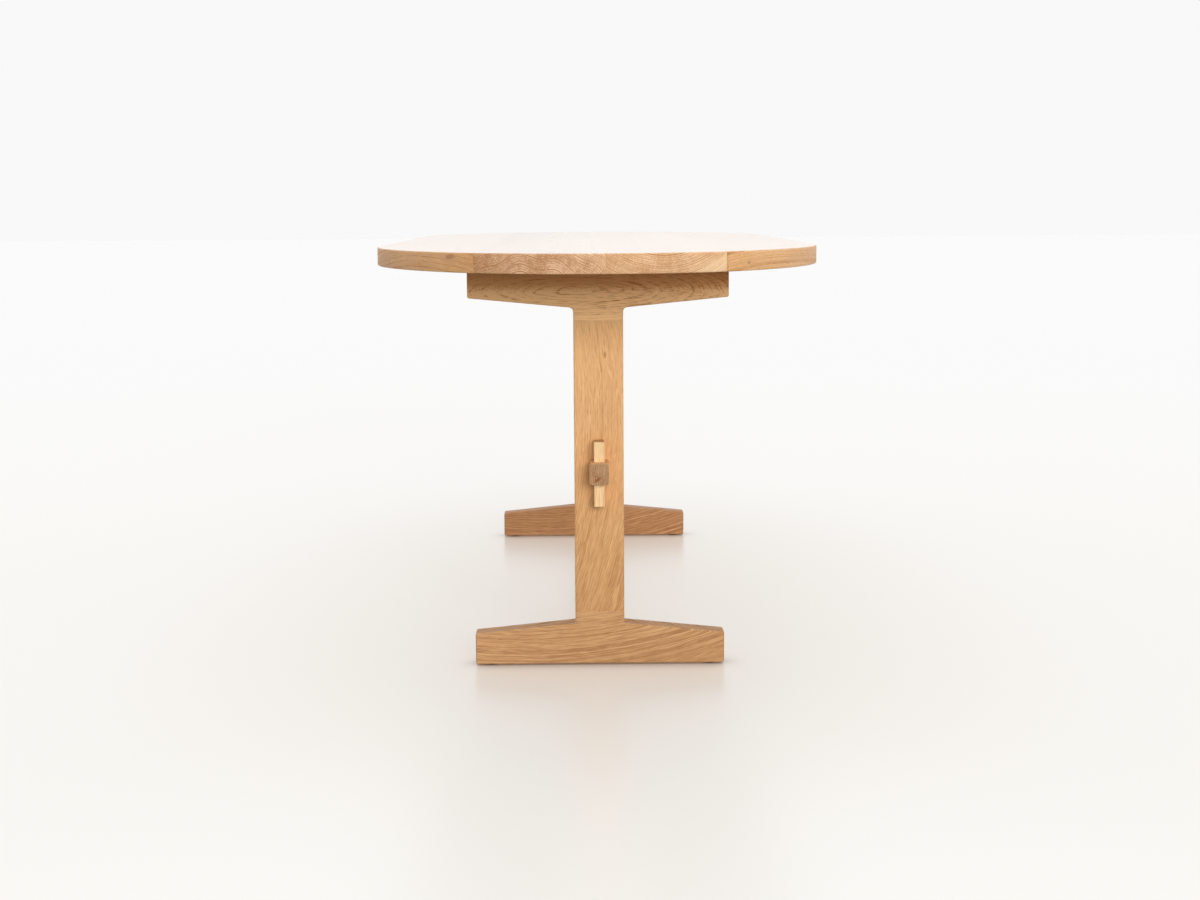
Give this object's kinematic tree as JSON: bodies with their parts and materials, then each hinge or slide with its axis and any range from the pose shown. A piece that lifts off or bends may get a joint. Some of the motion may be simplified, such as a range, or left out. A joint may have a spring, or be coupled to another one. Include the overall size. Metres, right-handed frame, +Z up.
{
  "type": "trestle dining table",
  "caption": "Solid oak trestle dining table with a long round-ended top, T-shaped end trestles, and a low stretcher locked by tusk wedges.",
  "frame": {"origin": "on the floor, under the centre of the table top", "axes": "+X along the table's length, towards the right trestle; +Y across the table; +Z up"},
  "size_m": [2.0998, 0.8, 0.75],
  "materials": {
    "oak_top": "matt clear oil on sanded oak",
    "oak_frame": "matt clear oil on sanded oak",
    "wedge_wood": "pale close-grained wood, matt clear oil",
    "bolt_steel": "zinc-plated steel",
    "insert_brass": "plain turned brass",
    "glide_felt": "pressed dark felt"
  },
  "bodies": {
    "table": {"top_board_1": "oak_top", "top_board_2": "oak_top", "top_board_3": "oak_top", "top_board_4": "oak_top", "right_foot": "oak_frame", "right_post": "oak_frame", "right_head": "oak_frame", "left_foot": "oak_frame", "left_post": "oak_frame", "left_head": "oak_frame", "stretcher": "oak_frame", "right_head_bolts": "bolt_steel", "left_head_bolts": "bolt_steel", "right_head_washers": "bolt_steel", "left_head_washers": "bolt_steel", "right_top_inserts": "insert_brass", "left_top_inserts": "insert_brass", "right_foot_glides": "glide_felt", "left_foot_glides": "glide_felt"},
    "right_tusk": {"right_wedge": "wedge_wood"},
    "left_tusk": {"left_wedge": "wedge_wood"}
  },
  "joints": [
    {"name": "right_wedge_lift", "type": "slide", "parent": "table", "child": "right_tusk", "axis": [0, 0, 1], "range_m": [0, 0.08]},
    {"name": "left_wedge_lift", "type": "slide", "parent": "table", "child": "left_tusk", "axis": [0, 0, 1], "range_m": [0, 0.08]}
  ]
}
